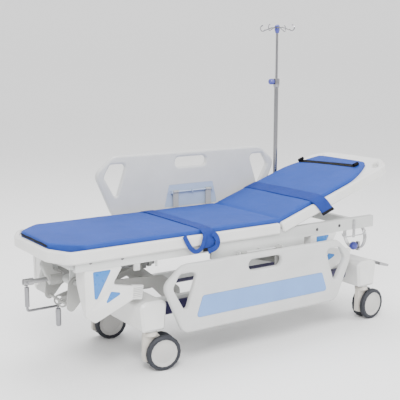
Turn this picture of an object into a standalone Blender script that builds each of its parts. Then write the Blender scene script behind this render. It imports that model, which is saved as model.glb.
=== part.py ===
"""Stretcher trolley: crank-raised deck on a castor base, with fold-down side rails and a drip pole.

Metres, +Z up, +X towards the head end, +Y towards the side that carries the drip pole.
The design is drawn about a point near the middle of the base; one empty then moves it so that the
origin is on the floor under the middle of the whole trolley's box.
"""

from math import atan2, ceil, cos, degrees, hypot, pi, radians, sin, tan

import bmesh
import bpy
from mathutils import Matrix, Vector

# ---------------------------------------------------------------- driving dimensions (metres, degrees)

GAP = 0.0003                # between faces that touch
RUN = 0.0004                # between a shaft and its bore

WHEEL_RADIUS = 0.075
TYRE_WIDTH = 0.025
TYRE_DEPTH = 0.016
FORK_WIDTH = 0.022
FORK_CLEARANCE = 0.002
AXLE_RADIUS = 0.006
CASTOR_TRAIL = 0.050
CASTOR_HEIGHT = 0.170
STEM_RADIUS = 0.014
STEM_X = {"foot": -0.655, "head": 0.560}
CASTOR_TRACK = 0.470
CASTOR_YAW = {("near", "foot"): -9, ("near", "head"): 4, ("far", "foot"): -6, ("far", "head"): 3}

BEAM_LENGTH = 0.548
BEAM_TOP_WIDTH = 0.128
BEAM_BASE_WIDTH = 0.104
BEAM_HEIGHT = 0.128
BEAM_WALL = 0.004
BASE_TUBE = 0.040
BASE_TUBE_TRACK = 0.340
BASE_TUBE_Z = 0.262
BUMPER_HEIGHT = 0.056
BUMPER_WIDTH = 0.024

BRAKE_Z = 0.222
BRAKE_SHAFT_RADIUS = 0.006
PEDAL_REACH = 0.185
PEDAL_WIDTH = 0.080
PEDAL_Y = -0.200

ARM_LENGTH = 0.490          # lift arm, pivot to pivot
ARM_SLOPE = 15.0            # of the lift arms with the deck down
ARM_SPACING = 0.895
ARM_PLATE = 0.006
ARM_Y = 0.110
ARM_BASE_X = -0.455
ARM_LOBE = 0.101            # from the deck pivot down to the drag link's bar
PIVOT_RADIUS = 0.010

DECK_WIDTH = 0.540
DECK_FOOT_X = -1.075
FOOT_EDGE = 0.320
FOOT_CHAMFER = 0.055
HINGE_X = 0.013
BACK_LENGTH = 0.745
BACK_ANGLE = 18.5           # of the backrest over the deck
RIM_TOP = 0.553
RIM_HEIGHT = 0.050
RIM_WIDTH = 0.018
PANEL_THICKNESS = 0.014
PANEL_DROP = 0.012          # of the panel's face under the rim's top
MATTRESS_THICKNESS = 0.030
STRAP_THICKNESS = 0.003

FRAME_TUBE_HEIGHT = 0.055
FRAME_TUBE_WIDTH = 0.025
FRAME_TOP = 0.525
FRAME_OUTER = 0.256
FRAME_FOOT_X = -0.992
FRAME_HEAD_X = 0.606
FRAME_CROSS_X = 0.478

COVER_THICKNESS = 0.020
COVER_STEP = 1.155          # from the foot covers to the head covers

RAIL_CENTRE_X = -0.108
RAIL_LENGTH = 1.028
RAIL_HEIGHT = 0.294
RAIL_THICKNESS = 0.028
RAIL_PLANE = 0.298          # of the rail's middle, either side of the centreline
RAIL_ARM = 0.194            # swing arm, pivot to pivot
RAIL_ARM_SPACING = 0.192
RAIL_ARM_THICKNESS = 0.006
RAIL_ARM_WIDTH = 0.030
RAIL_PIVOT_HEIGHT = 0.448
RAIL_PIVOT_Y = 0.2755
RAIL_PIVOT_RISE = 0.100     # of the hinge pins over the rail's lower edge
RAIL_PIN_RADIUS = 0.004
RAIL_BARREL_RADIUS = 0.0075
RAIL_EAR_X = 0.118

CRANK_Z = 0.391
CRANK_JOINT_X = -1.090
CRANK_DROP = 0.121
CRANK_REACH = 0.134
CRANK_GRIP_LENGTH = 0.085
CRANK_ROD = 0.0055
SCREW_RADIUS = 0.009
SCREW_END_X = -0.495
NUT_X = -0.560
LINK_EYE = 0.016            # inside radius of the drag link's open eye
LINK_BAR = 0.006

POLE_X = 0.424
POLE_Y = 0.285
POLE_TOP = 1.455
POLE_CLAMP = 1.165
POLE_TUBE_RADIUS = 0.011
POLE_SLIDER_RADIUS = 0.0065
HOOK_REACH = 0.098
HOOK_TURN = 24.0
HOOK_CURL = 0.015
HOOK_WIRE = 0.0028

RING_CENTRE = (0.580, -0.160, 0.411)
RING_RADIUS = 0.072
RING_BAND = 0.020
RING_WALL = 0.003

# ---------------------------------------------------------------- dependent sizes

SIDE = {"near": -1, "far": 1}
END_STEP = {"foot": 0.0, "head": COVER_STEP}
TYRE_CENTRE = FORK_WIDTH / 2 + FORK_CLEARANCE + TYRE_WIDTH / 2
DISC_RADIUS = WHEEL_RADIUS - TYRE_DEPTH - GAP
WHEEL_STEPS = 18            # a number that leaves a flat facet at the bottom

BEAM_BOTTOM = CASTOR_HEIGHT + 0.006
BEAM_TOP = BEAM_BOTTOM + BEAM_HEIGHT
TUBE_Y = BASE_TUBE_TRACK / 2
TUBE_INNER = TUBE_Y - BASE_TUBE / 2 + 0.005

ARM_RUN = ARM_LENGTH * cos(radians(ARM_SLOPE))
ARM_RISE = ARM_LENGTH * sin(radians(ARM_SLOPE))
ARM_TOP_X = ARM_BASE_X - ARM_RUN
ARM_TOP_Z = BASE_TUBE_Z + ARM_RISE
LOBE_X = ARM_TOP_X - 0.015
LOBE_Z = ARM_TOP_Z - ARM_LOBE

DECK_HALF = DECK_WIDTH / 2
RIM_BOTTOM = RIM_TOP - RIM_HEIGHT
PANEL_TOP = RIM_TOP - PANEL_DROP
HINGE_DROP = 0.002
HINGE_Z = RIM_TOP - HINGE_DROP
HINGE_GAP = 0.0035          # from the hinge axis to either board
MATTRESS_HALF = DECK_HALF - RIM_WIDTH - 0.0025
MATTRESS_TOP = PANEL_TOP + GAP + MATTRESS_THICKNESS
BACK_MATTRESS_TOP = MATTRESS_TOP - HINGE_Z

FRAME_BOTTOM = FRAME_TOP - FRAME_TUBE_HEIGHT
FRAME_SIDE_Y = FRAME_OUTER - FRAME_TUBE_WIDTH / 2
FRAME_CROSS_Z = FRAME_TOP - 0.024
COVER_Y = FRAME_OUTER - COVER_THICKNESS / 2

RAIL_INNER = RAIL_PLANE - RAIL_THICKNESS / 2
RAIL_BOTTOM = {
    "near": RAIL_PIVOT_HEIGHT - RAIL_ARM - RAIL_PIVOT_RISE,
    "far": RAIL_PIVOT_HEIGHT + RAIL_ARM - RAIL_PIVOT_RISE,
}

HOOK_SPAN = max(abs(sin(radians(HOOK_TURN + 90 * i))) for i in range(4)) * (HOOK_REACH + HOOK_WIRE)
CRANK_FOOT_X = CRANK_JOINT_X - 0.014
PEDAL_HEAD_X = STEM_X["head"] + PEDAL_REACH + 0.003
BOX_CENTRE_X = (CRANK_FOOT_X + PEDAL_HEAD_X) / 2
BOX_CENTRE_Y = (POLE_Y + HOOK_SPAN - RAIL_PLANE - RAIL_THICKNESS / 2) / 2

# ---------------------------------------------------------------- scene and materials

for old in list(bpy.data.objects):
    bpy.data.objects.remove(old, do_unlink=True)

PARTS = bpy.data.collections.new("stretcher_trolley")
WORKSHOP = bpy.data.collections.new("cutters")
bpy.context.scene.collection.children.link(PARTS)
bpy.context.scene.collection.children.link(WORKSHOP)


def material(name, colour, roughness, metallic=0.0):
    made = bpy.data.materials.new(name)
    made.use_nodes = True
    shader = made.node_tree.nodes["Principled BSDF"]
    shader.inputs["Base Color"].default_value = (*colour, 1.0)
    shader.inputs["Roughness"].default_value = roughness
    shader.inputs["Metallic"].default_value = metallic
    made.diffuse_color = (*colour, 1.0)
    return made


WHITE_PLASTIC = material("white_plastic", (0.82, 0.82, 0.80), 0.38)
RAIL_PLASTIC = material("rail_plastic", (0.66, 0.67, 0.66), 0.42)
PANEL_PLASTIC = material("panel_plastic", (0.22, 0.44, 0.72), 0.45)
CREAM_PLASTIC = material("castor_plastic", (0.70, 0.67, 0.60), 0.45)
DISC_PLASTIC = material("wheel_disc", (0.62, 0.62, 0.61), 0.5)
NAVY_PLASTIC = material("navy_plastic", (0.022, 0.012, 0.10), 0.4)
BLUE_PLASTIC = material("blue_plastic", (0.045, 0.06, 0.42), 0.3)
TYRE_RUBBER = material("tyre_rubber", (0.05, 0.054, 0.07), 0.7)
WHITE_STEEL = material("white_steel", (0.70, 0.70, 0.68), 0.35, 0.2)
GREY_STEEL = material("grey_steel", (0.36, 0.36, 0.35), 0.4, 0.4)
ZINC = material("zinc", (0.55, 0.55, 0.55), 0.35, 1.0)
CHROME = material("chrome", (0.66, 0.66, 0.67), 0.12, 1.0)
BLUE_FABRIC = material("blue_fabric", (0.05, 0.11, 0.45), 0.7)
BLACK_FABRIC = material("black_fabric", (0.015, 0.015, 0.02), 0.85)

# ---------------------------------------------------------------- shapes
# A shape is drawn in its parent's frame and waits in the workshop collection until node() takes it.

AXIS_TURN = {"z": (0, 0, 0), "x": (0, 90, 0), "y": (-90, 0, 0)}
PLANE_TURN = {"xy": (0, 0, 0), "xz": (90, 0, 0), "yz": (90, 0, 90)}


def shape(mesh, at, turn=(0, 0, 0)):
    made = bpy.data.objects.new("tool", mesh)
    WORKSHOP.objects.link(made)
    made.location = at
    made.rotation_euler = [radians(angle) for angle in turn]
    made.hide_render = True
    made.display_type = "WIRE"
    return made


def block(size, at, turn=(0, 0, 0)):
    """A box centred on a point."""
    mesh = bpy.data.meshes.new("block")
    bm = bmesh.new()
    bmesh.ops.create_cube(bm, size=1.0)
    bmesh.ops.scale(bm, vec=size, verts=bm.verts)
    bm.to_mesh(mesh)
    bm.free()
    return shape(mesh, at, turn)


def bar(radius, length, at, axis="z", sides=12):
    """A round bar centred on a point."""
    mesh = bpy.data.meshes.new("bar")
    bm = bmesh.new()
    bmesh.ops.create_cone(bm, cap_ends=True, segments=sides, radius1=radius, radius2=radius, depth=length)
    for face in bm.faces:
        face.smooth = len(face.verts) == 4
    bm.to_mesh(mesh)
    bm.free()
    return shape(mesh, at, AXIS_TURN[axis])


def turned(profile, at, axis="z", steps=WHEEL_STEPS, closed=False, turn=None):
    """A turned solid; the profile lists (radius, height) down the outside from top to bottom."""
    mesh = bpy.data.meshes.new("turned")
    last = len(profile) if closed else len(profile) - 1
    edges = [(i, (i + 1) % len(profile)) for i in range(last)]
    mesh.from_pydata([(r, 0.0, h) for r, h in profile], edges, [])
    made = shape(mesh, at, turn or AXIS_TURN[axis])
    screw = made.modifiers.new("turn", "SCREW")
    screw.angle = 2 * pi
    screw.steps = steps
    screw.render_steps = steps
    screw.use_merge_vertices = True
    screw.merge_threshold = 0.00005
    screw.use_smooth_shade = True
    return made


def as_mesh(curve_data):
    """The closed mesh of a curve, welded along its seams."""
    holder = bpy.data.objects.new("curve", curve_data)
    WORKSHOP.objects.link(holder)
    bpy.context.view_layer.update()
    mesh = bpy.data.meshes.new_from_object(holder)
    bm = bmesh.new()
    bm.from_mesh(mesh)
    bmesh.ops.remove_doubles(bm, verts=bm.verts, dist=0.00002)
    bmesh.ops.recalc_face_normals(bm, faces=bm.faces)
    bm.to_mesh(mesh)
    bm.free()
    bpy.data.objects.remove(holder, do_unlink=True)
    return mesh


def spline(data, points, cyclic):
    line = data.splines.new("POLY")
    line.points.add(len(points) - 1)
    for slot, point in zip(line.points, points):
        slot.co = (*point, 1.0)
    line.use_cyclic_u = cyclic


def rounded(corners, facet=32.0):
    """A closed outline from (x, y, radius) corners given anticlockwise."""
    points = []
    for i, (x, y, radius) in enumerate(corners):
        here = Vector((x, y))
        before = (Vector(corners[i - 1][:2]) - here).normalized()
        after = (Vector(corners[(i + 1) % len(corners)][:2]) - here).normalized()
        inside = before.angle(after)
        if radius <= 0 or inside > pi - 0.02:
            points.append((x, y))
            continue
        reach = radius / tan(inside / 2)
        centre = here + (before + after).normalized() * (radius / sin(inside / 2))
        start = here + before * reach - centre
        sweep = pi - inside
        turn = 1 if before.x * after.y - before.y * after.x < 0 else -1
        count = max(1, ceil(degrees(sweep) / facet))
        for k in range(count + 1):
            spin = Matrix.Rotation(turn * sweep * k / count, 2)
            points.append(tuple(centre + spin @ start))
    return points


def plate(outline, thickness, at=(0, 0, 0), plane="xy", rounding=0.0, holes=(), steps=0):
    """A flat plate from an outline, centred on its plane; rounding eases both rims."""
    data = bpy.data.curves.new("plate", "CURVE")
    data.dimensions = "2D"
    data.fill_mode = "BOTH"
    data.extrude = thickness / 2 - rounding
    data.bevel_depth = rounding
    data.bevel_resolution = steps
    data.offset = -rounding
    spline(data, [(x, y, 0.0) for x, y in outline], True)
    for hole in holes:
        spline(data, [(x, y, 0.0) for x, y in reversed(hole)], True)
    return shape(as_mesh(data), at, PLANE_TURN[plane])


def wire(points, radius, resolution=2):
    """A round wire along a path, with flat ends."""
    data = bpy.data.curves.new("wire", "CURVE")
    data.dimensions = "3D"
    data.bevel_depth = radius
    data.bevel_resolution = resolution
    data.use_fill_caps = True
    spline(data, points, False)
    return shape(as_mesh(data), (0, 0, 0))


def circle(x, y, radius, sides=12):
    return [(x + radius * cos(2 * pi * i / sides), y + radius * sin(2 * pi * i / sides)) for i in range(sides)]


def bend(path, radius, steps=4):
    """A path with its corners rounded to one radius."""
    points = [Vector(path[0])]
    for before, here, after in zip(path, path[1:], path[2:]):
        here = Vector(here)
        back = (Vector(before) - here).normalized()
        on = (Vector(after) - here).normalized()
        reach = radius / tan(back.angle(on) / 2)
        start = here + back * reach
        end = here + on * reach
        for k in range(steps + 1):
            t = k / steps
            points.append((1 - t) ** 2 * start + 2 * t * (1 - t) * here + t ** 2 * end)
    points.append(Vector(path[-1]))
    return [tuple(point) for point in points]


def ribbon(path, thickness):
    """The outline of a strip of even thickness along a flat path."""
    line = [Vector(point) for point in path]
    sides = ([], [])
    for i, here in enumerate(line):
        before = (here - line[i - 1]).normalized() if i else (line[1] - here).normalized()
        after = (line[i + 1] - here).normalized() if i < len(line) - 1 else before
        middle = (before + after).normalized()
        across = Vector((-middle.y, middle.x)) * (thickness / 2 / max(0.3, middle.dot(after)))
        sides[0].append(tuple(here - across))
        sides[1].append(tuple(here + across))
    return sides[0] + sides[1][::-1]


def empty(name, at, parent=None, tilt=0.0, yaw=0.0):
    """An empty on a joint's axis, placed in its parent's frame."""
    made = bpy.data.objects.new(name, None)
    made.empty_display_size = 0.05
    PARTS.objects.link(made)
    made.parent = parent
    made.location = at
    made.rotation_euler = (0.0, radians(-tilt), radians(yaw))
    return made


def node(name, body, surface, parent, unions=(), cuts=()):
    """Turn a shape into a named part: add shapes to it, then cut shapes from it."""
    WORKSHOP.objects.unlink(body)
    PARTS.objects.link(body)
    body.name = name
    body.data.name = name
    body.hide_render = False
    body.display_type = "TEXTURED"
    body.parent = parent
    body.data.materials.clear()
    body.data.materials.append(surface)
    for tools, operation in ((unions, "UNION"), (cuts, "DIFFERENCE")):
        for number, other in enumerate(tools):
            other.name = f"{name}_{operation.lower()}_{number}"
            other.parent = parent
            change = body.modifiers.new(other.name, "BOOLEAN")
            change.operation = operation
            change.solver = "EXACT"
            change.object = other
    return body


# ---------------------------------------------------------------- base

TROLLEY = empty("trolley", (-BOX_CENTRE_X, -BOX_CENTRE_Y, 0))
PIVOT_X = (ARM_BASE_X, ARM_BASE_X + ARM_SPACING)


def base():
    centre_x = (STEM_X["foot"] + STEM_X["head"]) / 2
    length = STEM_X["head"] - STEM_X["foot"]
    unions = [block((BASE_TUBE, 2 * 0.255, BASE_TUBE), (STEM_X["head"], 0, BASE_TUBE_Z))]
    cuts = []
    for side in SIDE.values():
        unions.append(block((length, 0.030, 0.036), (centre_x, side * TUBE_Y, BASE_TUBE_Z)))
        for end in STEM_X.values():
            y = side * CASTOR_TRACK / 2
            unions.append(bar(0.027, 0.090, (end, y, CASTOR_HEIGHT + GAP + 0.045), sides=14))
            cuts.append(bar(STEM_RADIUS + RUN, 0.050, (end, y, CASTOR_HEIGHT + 0.015), sides=14))
        for x in PIVOT_X:
            inner = ARM_Y - ARM_PLATE / 2 - 0.004
            outer = TUBE_INNER + 0.010
            unions.append(bar(PIVOT_RADIUS, outer - inner, (x, side * (inner + outer) / 2, BASE_TUBE_Z), "y"))
    cuts.append(bar(BRAKE_SHAFT_RADIUS + RUN, 0.60, (STEM_X["head"], 0, BRAKE_Z), "y", 12))
    body = block((BASE_TUBE, 2 * 0.255, BASE_TUBE), (STEM_X["foot"], 0, BASE_TUBE_Z))
    node("base_frame", body, WHITE_STEEL, TROLLEY, unions, cuts)


def beam_outline(inset):
    bottom = BEAM_BASE_WIDTH / 2 - inset
    top = BEAM_TOP_WIDTH / 2 - inset
    floor = BEAM_BOTTOM if inset == 0 else BEAM_BOTTOM - 0.020
    ridge = BEAM_TOP - inset
    corner = 0.022 - inset
    return rounded([(-bottom, floor, 0.011), (bottom, floor, 0.011), (top, ridge - 0.012, corner),
                    (top * 0.55, ridge, corner), (-top * 0.55, ridge, corner), (-top, ridge - 0.012, corner)])


def beam_cover(end, inward):
    """A moulded shell over a cross tube and its two castor sockets, open underneath."""
    x = STEM_X[end]
    shell = plate(beam_outline(0), BEAM_LENGTH, (x, 0, 0), "xz", 0.010)
    cuts = [plate(beam_outline(BEAM_WALL), BEAM_LENGTH - 0.020, (x, 0, 0), "xz")]
    wall = x + inward * BEAM_TOP_WIDTH / 2
    for side in SIDE.values():
        cuts.append(block((0.060, 0.030 + 2 * GAP, 0.036 + 2 * GAP), (wall, side * TUBE_Y, BASE_TUBE_Z)))
    if end == "head":
        cuts.append(block((0.060, 0.018, 0.104), (x + BEAM_TOP_WIDTH / 2, PEDAL_Y, BRAKE_Z + 0.012)))
    node(f"{end}_beam_cover", shell, WHITE_PLASTIC, TROLLEY, cuts=cuts)


def bumper(side_name):
    start = STEM_X["foot"] + BEAM_TOP_WIDTH / 2 + 0.012
    end = STEM_X["head"] - BEAM_TOP_WIDTH / 2 - 0.012
    low = BASE_TUBE_Z + 0.006 - BUMPER_HEIGHT
    high = BASE_TUBE_Z + 0.006
    outline = rounded([(start, low, 0.020), (end, low, 0.020), (end, high, 0.020), (start, high, 0.020)])
    y = SIDE[side_name] * (TUBE_Y + 0.015 + GAP + BUMPER_WIDTH / 2)
    shell = plate(outline, BUMPER_WIDTH, (0, y, 0), "xz", 0.007)
    node(f"base_bumper_{side_name}", shell, NAVY_PLASTIC, TROLLEY)


def castor(side_name, end):
    name = f"castor_{side_name}_{end}"
    swivel = empty(
        name, (STEM_X[end], SIDE[side_name] * CASTOR_TRACK / 2, 0), TROLLEY, yaw=CASTOR_YAW[side_name, end]
    )
    axle = (CASTOR_TRAIL, 0, WHEEL_RADIUS)
    outline = rounded([
        (-0.034, 0.046, 0.006), (-0.018, 0.040, 0.006), (CASTOR_TRAIL - 0.006, 0.058, 0.010),
        (CASTOR_TRAIL + 0.018, 0.060, 0.014), (CASTOR_TRAIL + 0.020, 0.092, 0.014),
        (CASTOR_TRAIL + 0.006, 0.132, 0.020), (0.030, 0.158, 0.010), (-0.032, 0.158, 0.010),
    ], 30)
    fork = plate(outline, FORK_WIDTH, (0, 0, 0), "xz")
    collar = turned([
        (0, 0.205), (STEM_RADIUS - 0.002, 0.205), (STEM_RADIUS, 0.203), (STEM_RADIUS, CASTOR_HEIGHT),
        (0.028, CASTOR_HEIGHT), (0.031, CASTOR_HEIGHT - 0.003), (0.031, 0.153), (0, 0.153),
    ], (0, 0, 0), steps=16)
    bore = bar(AXLE_RADIUS + RUN, 0.060, axle, "y", 16)
    node(f"{name}_fork", fork, CREAM_PLASTIC, swivel, [collar], [bore])

    spin = empty(f"{name}_axle", axle, swivel)
    near = FORK_WIDTH / 2 + FORK_CLEARANCE
    face = near + TYRE_WIDTH
    half = [(0, face - 0.002), (0.017, face - 0.003), (0.044, face - 0.007), (DISC_RADIUS, face - 0.002),
            (DISC_RADIUS, near), (AXLE_RADIUS, near)]
    profile = half + [(r, -h) for r, h in reversed(half)]
    node(f"{name}_wheel", turned(profile, (0, 0, 0), "y"), DISC_PLASTIC, spin)
    outer = WHEEL_RADIUS / cos(pi / WHEEL_STEPS)
    inner = DISC_RADIUS + GAP
    half_width = TYRE_WIDTH / 2
    for hand in (-1, 1):
        tyre = [(inner, half_width), (outer - 0.006, half_width), (outer, half_width - 0.006),
                (outer, -half_width + 0.006), (outer - 0.006, -half_width), (inner, -half_width)]
        ring = turned(tyre, (0, hand * TYRE_CENTRE, 0), "y", closed=True)
        node(f"{name}_tyre_{'inner' if hand * SIDE[side_name] < 0 else 'outer'}", ring, TYRE_RUBBER, spin)


def brake_pedal():
    shaft = empty("brake_shaft", (STEM_X["head"], 0, BRAKE_Z), TROLLEY)
    path = [(0, 0), (0.050, 0.016), (0.102, 0.044), (0.130, 0.044), (PEDAL_REACH, 0.026)]
    arm = plate(ribbon(path, 0.010), 0.012, (0, PEDAL_Y, 0), "xz")
    hub = bar(0.013, 0.014, (0, PEDAL_Y, 0), "y")
    rod = bar(BRAKE_SHAFT_RADIUS, 2 * 0.246, (0, 0, 0), "y", 12)
    pad_outline = rounded([(0.122, 0.036, 0.003), (PEDAL_REACH, 0.020, 0.004),
                           (PEDAL_REACH + 0.004, 0.031, 0.004), (0.128, 0.051, 0.004)])
    pad = plate(pad_outline, PEDAL_WIDTH, (0, PEDAL_Y, 0), "xz", 0.0015)
    node("brake_pedal", rod, ZINC, shaft, [hub, arm, pad])


# ---------------------------------------------------------------- lift

def lift_arm(end):
    """Two side plates on the base pivots, tied by a tube; the foot one also pulls the drag link's bar."""
    base_x = PIVOT_X[0] if end == "foot" else PIVOT_X[1]
    pivot = empty(f"{end}_lift", (base_x, 0, BASE_TUBE_Z), TROLLEY)
    if end == "foot":
        lobe_x = LOBE_X - ARM_BASE_X
        lobe_z = LOBE_Z - BASE_TUBE_Z
        outline = rounded([
            (0.026, -0.026, 0.024), (0.026, 0.030, 0.024), (-0.060, 0.098, 0.03), (-0.300, 0.112, 0.05),
            (-ARM_RUN - 0.004, ARM_RISE + 0.026, 0.024), (-ARM_RUN - 0.030, ARM_RISE + 0.004, 0.020),
            (lobe_x - 0.024, lobe_z - 0.004, 0.018), (lobe_x - 0.002, lobe_z - 0.022, 0.016),
            (lobe_x + 0.024, lobe_z + 0.004, 0.016), (lobe_x + 0.060, lobe_z + 0.046, 0.03),
            (-0.120, 0.056, 0.03), (-0.040, -0.024, 0.02),
        ])
    else:
        outline = rounded([
            (0.026, -0.026, 0.024), (0.026, 0.026, 0.024), (-0.010, 0.032, 0.02),
            (-ARM_RUN + 0.010, ARM_RISE + 0.024, 0.02), (-ARM_RUN - 0.026, ARM_RISE + 0.026, 0.024),
            (-ARM_RUN - 0.026, ARM_RISE - 0.026, 0.024), (-ARM_RUN + 0.010, ARM_RISE - 0.026, 0.02),
            (-0.010, -0.024, 0.02),
        ])
    body = plate(outline, ARM_PLATE, (0, ARM_Y, 0), "xz")
    other = plate(outline, ARM_PLATE, (0, -ARM_Y, 0), "xz")
    tie = bar(0.012, 2 * ARM_Y, (-0.045, 0, 0.030), "y")
    open_pivot = PIVOT_RADIUS + (RUN if end == "foot" else 0.0018)
    cuts = [bar(PIVOT_RADIUS + RUN, 0.5, (0, 0, 0), "y"),
            bar(open_pivot, 0.5, (-ARM_RUN, 0, ARM_RISE), "y")]
    unions = [other, tie]
    if end == "foot":
        unions.append(bar(LINK_BAR, 2 * ARM_Y, (LOBE_X - base_x, 0, LOBE_Z - BASE_TUBE_Z), "y"))
    node(f"{end}_lift_arm", body, GREY_STEEL, pivot, unions, cuts)
    return pivot


def deck_frame(deck, origin):
    """Side tubes, cross tubes, lift pivots, rail pivots, pole socket and the small brackets."""

    def at(x, y, z):
        return (x - origin[0], y, z - origin[1])

    length = FRAME_HEAD_X - FRAME_FOOT_X
    middle = (FRAME_HEAD_X + FRAME_FOOT_X) / 2
    size = (length, FRAME_TUBE_WIDTH, FRAME_TUBE_HEIGHT)
    unions = [block(size, at(middle, FRAME_SIDE_Y, FRAME_TOP - FRAME_TUBE_HEIGHT / 2))]
    cuts = []
    head_pivot_x = ARM_TOP_X + ARM_SPACING
    for x in (-0.998, ARM_TOP_X, -0.520, -0.345, head_pivot_x, FRAME_CROSS_X):
        unions.append(block((0.028, 2 * FRAME_SIDE_Y, 0.038), at(x, 0, FRAME_CROSS_Z)))
    for side in SIDE.values():
        for x in (ARM_TOP_X, head_pivot_x):
            lug = rounded([(-0.020, ARM_TOP_Z - 0.020, 0.016), (0.020, ARM_TOP_Z - 0.020, 0.016),
                           (0.016, FRAME_CROSS_Z, 0), (-0.016, FRAME_CROSS_Z, 0)])
            y = ARM_Y - ARM_PLATE / 2 - 0.001
            unions.append(plate(lug, 0.010, at(x, side * (y - 0.005), 0), "xz"))
            unions.append(bar(PIVOT_RADIUS, 0.022, at(x, side * (y + 0.002), ARM_TOP_Z), "y"))
        tube = bar(0.018, 0.068, at(ARM_TOP_X, side * (ARM_Y - 0.048), ARM_TOP_Z), "y", 24)
        unions.append(tube)
        # the rail pivots' channel under the side tube, its ears and its long pin
        unions.append(block((0.520, 0.014, 0.036), at(-0.100, side * 0.249, FRAME_BOTTOM - 0.016)))
        for x in (-RAIL_EAR_X, 0, RAIL_EAR_X):
            ear = (0.006, 0.026, 0.015)
            unions.append(block(ear, at(RAIL_CENTRE_X + x, side * 0.2675, RAIL_PIVOT_HEIGHT + 0.0005)))
        pin = (RAIL_CENTRE_X, side * RAIL_PIVOT_Y, RAIL_PIVOT_HEIGHT)
        unions.append(bar(RAIL_PIN_RADIUS, 2 * RAIL_EAR_X + 0.010, at(*pin), "x", 8))
        unions.append(block((0.026, 0.010, 0.034), at(-0.722, side * 0.250, FRAME_BOTTOM - 0.012)))
        unions.append(bar(0.005, 0.034, at(-0.628, side * 0.247, FRAME_BOTTOM - 0.008), "z", 8))
    # end bearing of the lift screw
    bearing = rounded([(-0.016, CRANK_Z - 0.016, 0.014), (0.016, CRANK_Z - 0.016, 0.014),
                       (0.016, FRAME_CROSS_Z, 0), (-0.016, FRAME_CROSS_Z, 0)])
    unions.append(plate(bearing, 0.014, at(-0.520, 0, 0), "yz"))
    cuts.append(bar(SCREW_RADIUS + RUN, 0.040, at(-0.520, 0, CRANK_Z), "x"))
    # drip pole socket on the far side, tongue for the oxygen ring under the head cross tube
    unions.append(block((0.030, 0.026, 0.046), at(POLE_X, POLE_Y - 0.024, 0.494)))
    unions.append(bar(0.017, 0.052, at(POLE_X, POLE_Y, 0.494), sides=14))
    cuts.append(bar(POLE_TUBE_RADIUS + GAP, 0.080, at(POLE_X, POLE_Y, 0.514), sides=14))
    tongue = (0.128, 0.024, 0.008)
    unions.append(block(tongue, at(FRAME_CROSS_X + 0.056, RING_CENTRE[1], FRAME_CROSS_Z - 0.012)))
    body = block(size, at(middle, -FRAME_SIDE_Y, FRAME_TOP - FRAME_TUBE_HEIGHT / 2))
    node("deck_frame", body, WHITE_STEEL, deck, unions, cuts)


def seat_outline(inset, end=HINGE_X - HINGE_GAP):
    """The foot board's outline, shrunk on every side but less at the hinge."""
    edge = FOOT_EDGE / 2 - inset * 0.5
    half = DECK_HALF - inset
    start = DECK_FOOT_X + inset
    end = end - inset * 0.34
    shoulder = DECK_FOOT_X + FOOT_CHAMFER + inset * 0.6
    corner = 0.040 - inset
    return rounded([(start, -edge, corner), (shoulder, -half, corner), (end, -half, 0.008),
                    (end, half, 0.008), (shoulder, half, corner), (start, edge, corner)])


def back_outline(inset, start=HINGE_GAP):
    half = DECK_HALF - inset
    tip = BACK_LENGTH - inset
    shoulder = 0.690 - inset * 0.5
    edge = 0.195 - inset * 0.5
    return rounded([(start, -half, 0.008), (shoulder, -half, 0.060), (tip, -edge, 0.050),
                    (tip + 0.006, 0, 0), (tip, edge, 0.050), (shoulder, half, 0.060),
                    (start, half, 0.008)])


def back_bed(grow):
    """The backrest mattress's outline, or the recess round it."""
    half = MATTRESS_HALF + grow
    end = 0.655 + grow
    start = 0.012 - grow * 3
    return rounded([(start, -half, 0.008), (0.470, -half, 0.10), (end, -0.165, 0.05),
                    (end, 0.165, 0.05), (0.470, half, 0.10), (start, half, 0.008)])


def grip_hole(side):
    """The slanted grip hole through a head corner of the backrest."""
    corners = [(0.640, 0.226, 0.010), (0.690, 0.178, 0.010), (0.708, 0.194, 0.010), (0.658, 0.246, 0.010)]
    if side < 0:
        corners = [(x, -y, r) for x, y, r in reversed(corners)]
    return rounded(corners)


def board(name, outline, bed, hollow, parent, origin, holes=()):
    """A tray: a rim round a panel, open above for the mattress and below for the side tubes."""
    rise = RIM_TOP - RIM_HEIGHT / 2 - origin[1]
    shell = plate(outline(0), RIM_HEIGHT, (-origin[0], 0, rise), "xy", 0.007, holes)
    over = plate(bed, 0.040, (-origin[0], 0, PANEL_TOP + 0.020 - origin[1]), "xy")
    under_height = PANEL_TOP - PANEL_THICKNESS - RIM_BOTTOM + 0.040
    under = plate(hollow, under_height,
                  (-origin[0], 0, RIM_BOTTOM - 0.040 + under_height / 2 - origin[1]), "xy")
    return node(name, shell, WHITE_PLASTIC, parent, cuts=[over, under])


def mattress(name, outline, parent, origin):
    rise = PANEL_TOP + GAP + MATTRESS_THICKNESS / 2 - origin[1]
    solid = plate(outline, MATTRESS_THICKNESS, (-origin[0], 0, rise), "xy", 0.006)
    node(name, solid, BLUE_FABRIC, parent)


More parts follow.
